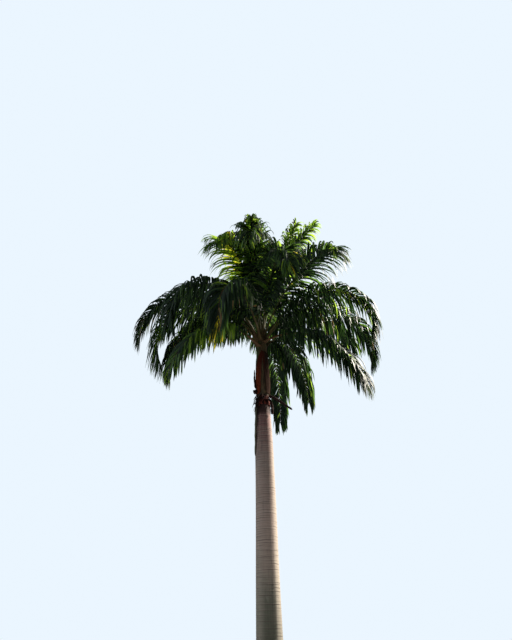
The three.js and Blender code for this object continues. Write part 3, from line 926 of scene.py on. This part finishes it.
def remains_mesh(order, knots, radii, flat, faces_to):
    """The radius changes evenly from foot to end and is rounded off at both, as a circle is. It is
    knobbly, by sines of the way along the route and of the turn round it. The `side` value runs
    from 0 to 1 across the limb, as 0.5 - 0.5 sin(turn)."""
    dice = np.random.default_rng([SEED, 5, order])
    t = np.linspace(0.001, 0.999, REMAINS_ROWS)
    ends = np.clip(np.minimum(t, 1 - t) * 9, 0, 1)
    radius = (radii[0] + (radii[1] - radii[0]) * t) * np.sqrt(1 - (1 - ends) ** 2)
    a, b, c = dice.uniform(0, 2 * np.pi, 3)
    radius = radius * (1 + 0.09 * np.sin(29 * t + a) + 0.05 * np.sin(71 * t + b))
    look = np.radians(faces_to)
    hint = np.array([np.cos(look), np.sin(look), 0.3])
    rings = swept(along_points(knots, t)[None], hint, radius, radius * flat, REMAINS_COLUMNS)
    middle = rings.mean(2, keepdims=True)
    turn = np.linspace(0, 2 * np.pi, REMAINS_COLUMNS, endpoint=False)
    bumps = 1 + 0.1 * np.sin(3 * turn + 17 * t[:, None] + c)
    side = np.broadcast_to(0.5 - 0.5 * np.sin(turn), bumps.shape)
    marks = {"side": np.append(side, (0.5, 0.5))}
    return (*closed(middle + (rings - middle) * bumps[None, ..., None]), marks)


# %% [markdown]
# The long strip still has the outer skin of its sheath, a streaked grey green, and shows its brown
# inside along one edge. The other four are dead fibre all over.

# %% Strip paint
def strip_paint():
    """Grey-green skin, streaked, and dark brown towards the edge where `side` is high."""
    paint = Paint("hanging_strip")
    down = paint.noise((90, 90, 3), 4, 0.6)
    colour = paint.blend(down.between(0.35, 0.7), (0.07, 0.07, 0.045), (0.2, 0.2, 0.14))
    colour = paint.blend(paint.mark("side").between(0.5, 0.75), colour, (0.025, 0.011, 0.008))
    relief = paint.relief(down, 0.002)
    return paint.finish(colour, 0.85, relief, looks={"Specular IOR Level": 0.1})


skins = {"hanging_strip": strip_paint()}
remains = []
for order, (name, facts) in enumerate(REMAINS.items()):
    points, faces, marks = remains_mesh(order, *facts)
    skin = skins.get(name, fibre)
    remains.append(add_piece(name + "_dry", points, faces, [skin], "dead_fibre", [name], marks=marks))
print("remains:", len(remains), "pieces,", triangles(*remains), "triangles")

# %% [markdown]
# ## Ribs
# Here is the rib's formula as two functions: one gives its direction at any share of its length, the
# other adds those directions up. The leaflets use both again, so they always sit on the rib. The rib
# itself is a row of oval rings, wide where it clasps the stem and thin at its tip.

# %% Direction and rib
RIB_SUMS = 400


def directions(frond, share):
    """The rib's direction, its level right-hand side and its upper side at shares of its length.
    slope = lift - (lift - tip) * share^bend, bearing = heading + turn * share^2."""
    slope = np.radians(frond["lift"] - (frond["lift"] - frond["tip"]) * share ** frond["bend"])
    bearing = np.radians(frond["heading"] + frond["turn"] * share**2)
    level = np.stack([np.cos(bearing), np.sin(bearing), 0 * bearing], -1)
    along = level * np.cos(slope)[..., None] + np.sin(slope)[..., None] * (0, 0, 1)
    side = np.stack([np.sin(bearing), -np.cos(bearing), 0 * bearing], -1)
    return along, side, np.cross(side, along)


def rib_points(frond, share):
    """Points of the rib at shares of its length: the seat plus the running sum of short steps along
    the rib's direction, read off between the steps."""
    age = AGES[frond["age"]]
    seat = on_stem(np.radians(frond["seat_heading"]), age["seat"], age["out"])
    middles = (np.arange(RIB_SUMS) + 0.5) / RIB_SUMS
    climb = np.cumsum(directions(frond, middles)[0], axis=0) * frond["length"] / RIB_SUMS
    climb = np.concatenate([np.zeros((1, 3)), climb]) + seat
    at = np.linspace(0, 1, RIB_SUMS + 1)
    return np.stack([np.interp(share, at, climb[:, axis]) for axis in range(3)], -1)


# %% Rib mesh
RIB_BASE = 0.062
RIB_TIP = 0.01
RIB_THINNING = 0.7
RIB_FLATNESS = 0.9
RIB_CLASP = 0.05
RIB_CLASP_REACH = 0.035
RIB_ROWS = 54
RIB_COLUMNS = 12


def rib_width(share):
    """Thickness of the rib: from base to tip with the power RIB_THINNING of the share."""
    return RIB_BASE + (RIB_TIP - RIB_BASE) * share**RIB_THINNING


def rib_mesh(frond):
    """Oval rings along the rib, closer together near its foot. The foot widens to clasp the stem,
    by RIB_CLASP * exp(-share / RIB_CLASP_REACH)."""
    share = np.linspace(0, 1, RIB_ROWS) ** 1.4
    up = directions(frond, share)[2]
    wide = rib_width(share) / 2 + RIB_CLASP * np.exp(-share / RIB_CLASP_REACH)
    thick = rib_width(share) / 2 * RIB_FLATNESS
    rings = swept(rib_points(frond, share)[None], up[None], wide, thick, RIB_COLUMNS)
    return closed(rings)


# %% [markdown]
# The ribs are green where leaflets grow on them, and near the stem dust and rain have stained them
# brown. Height tells both apart well enough, with noise to fray the line between them.

# %% Rib paint
def rib_paint():
    """Olive rib, red-brown near the stem, clouded, with a fine grain and hardly any gloss."""
    paint = Paint("rib_skin")
    cloudy = paint.noise((7, 7, 7), 4, 0.6)
    stained = (1 - (paint.height() + 0.5 * cloudy).between(8.2, 9.3)) * 0.75
    colour = paint.blend(cloudy.between(0.35, 0.7), (0.028, 0.04, 0.011), (0.10, 0.11, 0.035))
    colour = paint.blend(stained, colour, (0.10, 0.036, 0.017))
    relief = paint.relief(paint.noise((60, 60, 60)), 0.001)
    return paint.finish(colour, 0.6 + 0.2 * cloudy, relief, looks={"Specular IOR Level": 0.2})


# %% [markdown]
# ## Leaflets
# The leaflets of this palm do not lie in one plane, as on a ladder: they stand in tiers, a lower one
# that droops beside the rib and an upper one that rises over it before it falls. That is what makes
# the frond a plume. Each leaflet is a narrow strap, folded along its middle, that starts sideways
# and forwards from the rib and is bent towards the ground by its own weight. Hair particles could
# scatter them, but the export drops particles, and a joined mesh is a thing that can be handed on.

# %% Leaflet sizes
TIER_LEAFLETS = 74
LEAFLET_STEPS = 7
LEAFLET_WIDTH = 0.068
BLADE_FROM = 0.17
BLADE_TO = 0.985
# Shares of the longest leaflet along the blade, from its foot to the rib's tip.
LENGTH_ALONG = ((0, 0.25, 0.6, 0.85, 1), (0.5, 1, 1, 0.85, 0.5))
SWEEP_ALONG = ((0, 1), (66, 24))
STIFF_RISE = 25
MOST_FALL = 0.93
LEAFLET_SWAY = 0.06
UPPER_DELAY = 0.4
UPPER_SHORTER = 0.1
# Share of the rib's thickness by which a leaflet's foot is off its middle.
FOOT_OUT = 0.4


def leaflet_starts(dice):
    """For each leaflet of a frond: its place q along the blade from 0 to 1, its hand, -1 left or
    1 right, and its tier, 0 lower or 1 upper. Places are even, each moved within its own step."""
    hand = np.repeat((-1.0, 1.0, -1.0, 1.0), TIER_LEAFLETS)
    tier = np.repeat((0.0, 0.0, 1.0, 1.0), TIER_LEAFLETS)
    places = np.tile(np.arange(TIER_LEAFLETS), 4) + dice.uniform(0, 1, len(hand))
    return places / TIER_LEAFLETS, hand, tier


def leaflet_lines(frond, q, hand, tier, dice):
    """The middle line of each leaflet, the direction of each of its steps, its start and the rib's
    upper side there. A leaflet starts at the angle `sweep` from the rib, out to its hand and up by
    `rise`. Each step's direction is that start times 1 - fall plus straight down times fall, and a
    sway that grows with the share u of the leaflet. The fall grows as slack * u^0.9, and later, as
    slack * u^1.3, in the upper tier, up to MOST_FALL. The slack is `hang` times a number drawn for
    each leaflet."""
    count = len(q)
    age = AGES[frond["age"]]
    hang = age["hang"]
    share = BLADE_FROM + (BLADE_TO - BLADE_FROM) * q
    along, side, up = directions(frond, share)
    sweep = np.radians(np.interp(q, *SWEEP_ALONG) + dice.normal(0, 4, count))[:, None]
    rise = STIFF_RISE * (1 - hang) + age["rise"] * tier + dice.normal(0, 5, count)
    rise = np.radians(rise)[:, None]
    start = side * hand[:, None] * np.cos(rise) + up * np.sin(rise)
    start = along * np.cos(sweep) + start * np.sin(sweep)
    u = (np.arange(LEAFLET_STEPS) + 0.5) / LEAFLET_STEPS
    slack = hang * dice.uniform(1.3, 1.6, count)[:, None]
    fall = np.clip(slack * u ** (0.9 + UPPER_DELAY * tier[:, None]), 0, MOST_FALL)[..., None]
    sway = dice.normal(0, LEAFLET_SWAY, (count, 1, 3)) * u[:, None]
    ways = unit(start[:, None] * (1 - fall) - fall * (0, 0, 1) + sway)
    length = age["leaf"] * np.interp(q, *LENGTH_ALONG) * dice.uniform(0.85, 1.06, count)
    foot = rib_points(frond, share) + side * (hand * rib_width(share) * FOOT_OUT)[:, None]
    length = length * (1 - UPPER_SHORTER * tier)
    steps = np.cumsum(ways * length[:, None, None] / LEAFLET_STEPS, axis=1)
    return np.concatenate([foot[:, None], foot[:, None] + steps], axis=1), ways, start, up


# %% [markdown]
# A leaflet is a long blade with a fold along its middle, which keeps it stiff and makes one half
# of it darker than the other. Seven steps of two faces are enough for that. The blade has no
# thickness of its own: the leaf paint lets light through both sides of it alike.

# %% Leaflet straps
FOLD = np.radians(24)
TWIST = 18
# Shares of LEAFLET_WIDTH along the frond's blade.
WIDTH_ALONG = ((0, 0.15, 0.8, 1), (0.7, 1, 0.85, 0.55))


def straps(lines, ways, start, up, q, dice):
    """Each line as a strap with a ridge, three points to a station and one at the tip. The strap's
    width runs along across = up x start, made square to the line and turned about it by a twist
    that grows along the leaflet. The edges lie lower than the ridge, by the sine of FOLD."""
    count = len(lines)
    across = np.cross(up, start)[:, None]
    across = unit(across - (across * ways).sum(-1, keepdims=True) * ways)
    u = np.arange(LEAFLET_STEPS) / LEAFLET_STEPS
    turn = np.radians(dice.normal(0, TWIST / 2, (count, 1)) + dice.normal(0, TWIST, (count, 1)) * u)
    turn = turn[..., None]
    across = across * np.cos(turn) + np.cross(ways, across) * np.sin(turn)
    under = np.cross(across, ways)
    width = LEAFLET_WIDTH * np.interp(q, *WIDTH_ALONG)
    half = width * dice.uniform(0.8, 1.1, count) / 2
    outline = (0.35 + 0.65 * step(u, 0, 0.25)) * (1 - u**3) ** 0.8
    half = (half[:, None] * outline)[..., None]
    out = across * half * np.cos(FOLD)
    sunk = under * half * np.sin(FOLD)
    middle = lines[:, :-1]
    stations = [middle - out + sunk, middle, middle + out + sunk]
    body = np.stack(stations, axis=2).reshape(count, -1, 3)
    return np.concatenate([body, lines[:, -1:]], axis=1)


def strap_faces(count):
    """Two quads for each step of a strap, and two triangles to its tip, all facing up."""
    k = 3 * np.arange(LEAFLET_STEPS - 1)[:, None] + np.arange(2)
    quads = np.stack([k, k + 3, k + 4, k + 1], -1).reshape(-1, 4)
    k = 3 * (LEAFLET_STEPS - 1) + np.arange(2)
    ends = np.stack([k, k * 0 + 3 * LEAFLET_STEPS, k + 1], -1)
    first = np.arange(count)[:, None, None] * (3 * LEAFLET_STEPS + 1)
    return [(first + block).reshape(-1, block.shape[1]) for block in (quads, ends)]


# %% [markdown]
# ## Leaf colours
# Seen from below, most leaflets are a green so deep that it is nearly black, and the sun makes
# single sprays glow yellow-green. An image could hold that, but it would smear over leaflets that
# overlap. So it is dealt out: there are five plain leaf paints, each leaflet takes one by the odds
# of its frond's age, and sprays that the photo shows in another colour have odds of their own.

# %% Leaf paints
KINDS = ("deep", "green", "fresh", "gold", "straw")
# For each kind: the colour of its skin, the colour of light through it, and that light's share.
LEAF_COLOURS = {
    "deep": ((0.018, 0.036, 0.02), (0.03, 0.075, 0.015), 0.25),
    "green": ((0.042, 0.082, 0.038), (0.12, 0.24, 0.035), 0.35),
    "fresh": ((0.11, 0.21, 0.055), (0.42, 0.65, 0.06), 0.5),
    "gold": ((0.42, 0.38, 0.04), (0.70, 0.60, 0.04), 0.5),
    "straw": ((0.26, 0.17, 0.075), (0.30, 0.20, 0.08), 0.3),
}


def leaf_paint(kind):
    """One leaf colour, a quarter darker and lighter in soft clouds, with some light let through."""
    paint = Paint("leaf_" + kind)
    skin, glow, through = LEAF_COLOURS[kind]
    base = np.array(skin)
    cloudy = paint.noise((5, 5, 5), 3, 0.6)
    colour = paint.blend(cloudy.between(0.3, 0.7), tuple(base * 0.75), tuple(base * 1.25))
    return paint.finish(colour, 0.5, None, glow, through, {"Specular IOR Level": 0.18})


# Sprays in another colour: frond, from and to along the blade, tiers, kind and odds. Most of them
# are painted light and painted shade, as marked row by row.
TINTS = [
    # Painted light: the sun glowing through left_top, and yellow through its upper tier.
    ("left_top", 0.05, 0.95, (0, 1), "fresh", 0.9),
    ("left_top", 0.2, 0.75, (1,), "gold", 0.5),
    ("front_low", 0.9, 1.0, (0, 1), "gold", 0.5),
    # Painted light: a sheen on left_low, and the sun glowing through its lower tier.
    ("left_low", 0.3, 1.0, (0, 1), "green", 0.5),
    ("left_low", 0.1, 0.8, (0,), "fresh", 0.3),
    # Painted reflection: glints of the sky on left_near.
    ("left_near", 0.1, 1.0, (0, 1), "green", 0.6),
    ("left_near", 0.1, 1.0, (0, 1), "fresh", 0.4),
    ("front_top", 0.2, 1.0, (0, 1), "fresh", 0.15),
    # Painted shade: the deep kind on the outer curtain of left_far.
    ("left_far", 0.4, 1.0, (0, 1), "deep", 0.6),
    # Painted shade: the deep kind on right_high.
    ("right_high", 0.0, 1.0, (0, 1), "deep", 0.8),
    ("right_high", 0.3, 0.75, (0,), "fresh", 0.2),
    ("right_high", 0.46, 0.58, (1,), "gold", 0.3),
    # Painted shade: the deep kind on right_top.
    ("right_top", 0.0, 1.0, (0, 1), "deep", 0.7),
    ("right_top", 0.82, 1.0, (0, 1), "fresh", 0.3),
    # Painted light: the sun glowing through both spires.
    ("mid_spire", 0.25, 1.0, (0, 1), "fresh", 0.5),
    ("right_spire", 0.2, 1.0, (0, 1), "fresh", 0.5),
]
DRY_TIPS = {"old": 0.015, "grown": 0.005, "young": 0.0, "youngest": 0.0}

print("leaf paints:", *KINDS)


def leaflet_kinds(name, frond, q, tier, dice):
    """A number into KINDS for each leaflet: by the odds of the frond's age, then by its tints."""
    kinds = dice.choice(len(KINDS), len(q), p=AGES[frond["age"]]["kinds"])
    for tinted, low, high, tiers, kind, odds in TINTS:
        if tinted == name:
            inside = (q >= low) & (q <= high) & np.isin(tier, tiers)
            kinds[inside & (dice.random(len(q)) < odds)] = KINDS.index(kind)
    return kinds


def face_kinds(kinds, dry):
    """The kind of each face: its leaflet's, but straw on the last two steps of a dry leaflet."""
    straw = KINDS.index("straw")
    quads = np.repeat(kinds[:, None], 2 * (LEAFLET_STEPS - 1), axis=1)
    quads[dry, -2:] = straw
    ends = np.where(dry, straw, kinds)[:, None].repeat(2, axis=1)
    return np.concatenate([quads.ravel(), ends.ravel()])


# %% [markdown]
# Now each frond grows: first its rib, then its leaflets as one mesh. Two meshes for each frond can
# still be picked up and changed by name, while one for each leaflet would be six thousand objects.

# %% Grow the fronds
MISSING = 0.04
leaf_paints = [leaf_paint(kind) for kind in KINDS]
rib_skin = rib_paint()
SLOTS = {age: "frond_" + age for age in ("old", "grown", "young")}
SLOTS["youngest"] = SLOTS["young"]


def grow_frond(order, name, frond):
    """Rib and leaflets of one frond, with its own random draws. A few leaflets are missing."""
    dice = np.random.default_rng([SEED, 10 + order])
    nodes = [name + "_inner", name + "_outer"]
    slot = SLOTS[frond["age"]]
    rib = add_piece(name + "_rib", *rib_mesh(frond), [rib_skin], slot, nodes)
    q, hand, tier = leaflet_starts(dice)
    lines, ways, start, up = leaflet_lines(frond, q, hand, tier, dice)
    points = straps(lines, ways, start, up, q, dice)
    kinds = leaflet_kinds(name, frond, q, tier, dice)
    dry = dice.random(len(q)) < DRY_TIPS[frond["age"]]
    kept = dice.random(len(q)) > MISSING
    faces = strap_faces(kept.sum())
    kinds = face_kinds(kinds[kept], dry[kept])
    points = points[kept].reshape(-1, 3)
    leaflets = add_piece(name + "_leaflets", points, faces, leaf_paints, slot, nodes, kinds)
    return rib, leaflets


crown = [piece for order, item in enumerate(FRONDS.items()) for piece in grow_frond(order, *item)]
print(len(FRONDS), "fronds,", triangles(*crown), "triangles")

# %% [markdown]
# ## The spear leaf
# The newest leaf is still furled: a tall tapering rod, twisted from leaflets that are folded
# together. A plain cone would do from afar, but its folds catch the light, so it is a row of rings
# whose radius ripples seven times round, and the ripples twist as it climbs.

# %% Spear
SPEAR_FOOT = 8.48
SPEAR_TOP = 11.15
SPEAR_RADII = (0.031, 0.005)
SPEAR_FOLDS = 7
FOLD_DEPTH = 0.14
FOLD_TWIST = 9
SPEAR_ROWS = 70
SPEAR_COLUMNS = 42
# The tip stands off to the right and to the front, and the rod bows a little between its ends.
SPEAR_SHIFT = (0.018, -0.024)
SPEAR_BOW = 0.006


def spear_mesh():
    """Radius = straight taper * (1 + FOLD_DEPTH cos(folds * turn + FOLD_TWIST * share)), along a
    straight line less a bow of SPEAR_BOW * sin(pi * share)."""
    t = np.linspace(0, 1, SPEAR_ROWS)
    height = SPEAR_FOOT + (SPEAR_TOP - SPEAR_FOOT) * t
    x = LEAN * SPEAR_FOOT + SPEAR_SHIFT[0] * t
    y = SPEAR_SHIFT[1] * t - SPEAR_BOW * np.sin(np.pi * t)
    turn = np.linspace(0, 2 * np.pi, SPEAR_COLUMNS, endpoint=False)
    radius = (SPEAR_RADII[0] + (SPEAR_RADII[1] - SPEAR_RADII[0]) * t)[:, None]
    radius = radius * (1 + FOLD_DEPTH * np.cos(SPEAR_FOLDS * turn + FOLD_TWIST * t[:, None]))
    ring = np.stack([np.cos(turn) * radius, np.sin(turn) * radius, 0 * radius * turn], -1)
    middle = np.stack([x, y, height], -1)[:, None]
    return closed((middle + ring)[None])


def spear_paint():
    """Pale yellow-green folds with fine lines along them."""
    paint = Paint("spear_skin")
    lines = paint.noise((90, 90, 2), 3, 0.6)
    colour = paint.blend(lines.between(0.35, 0.65), (0.06, 0.10, 0.02), (0.15, 0.2, 0.045))
    return paint.finish(colour, 0.45, paint.relief(lines, 0.0015))


spear = add_piece("spear_furled", *spear_mesh(), [spear_paint()], "frond_young", ["spear_leaf"])
print("spear:", triangles(spear), "triangles")

# %% [markdown]
# ## The floor
# The palm stands on a plain pale floor, which is not part of the object.
# A floor without end would throw so much sunlight up under the leaves that the crown would lose its
# dark heart, so this one is a disc, half as wide again as the crown.

# %% Floor
FLOOR_RADIUS = 4.5
FLOOR_CORNERS = 128


def floor_mesh():
    """A disc at the height of the ground: one ring of corners round the origin."""
    turn = np.linspace(0, 2 * np.pi, FLOOR_CORNERS, endpoint=False)
    return FLOOR_RADIUS * np.stack([np.cos(turn), np.sin(turn), 0 * turn], -1)


def floor_paint():
    """Pale and matt, very slightly clouded."""
    paint = Paint("floor")
    cloudy = paint.noise((0.6, 0.6, 0.6), 3, 0.5)
    return paint.finish(paint.blend(cloudy, (0.60, 0.61, 0.62), (0.66, 0.66, 0.66)), 0.9)


mesh = bpy.data.meshes.new("floor")
mesh.from_pydata(floor_mesh().tolist(), [], [range(FLOOR_CORNERS)])
mesh.materials.append(floor_paint())
floor = bpy.data.objects.new("floor", mesh)
bpy.context.scene.collection.objects.link(floor)
print("floor of radius", FLOOR_RADIUS, "m")
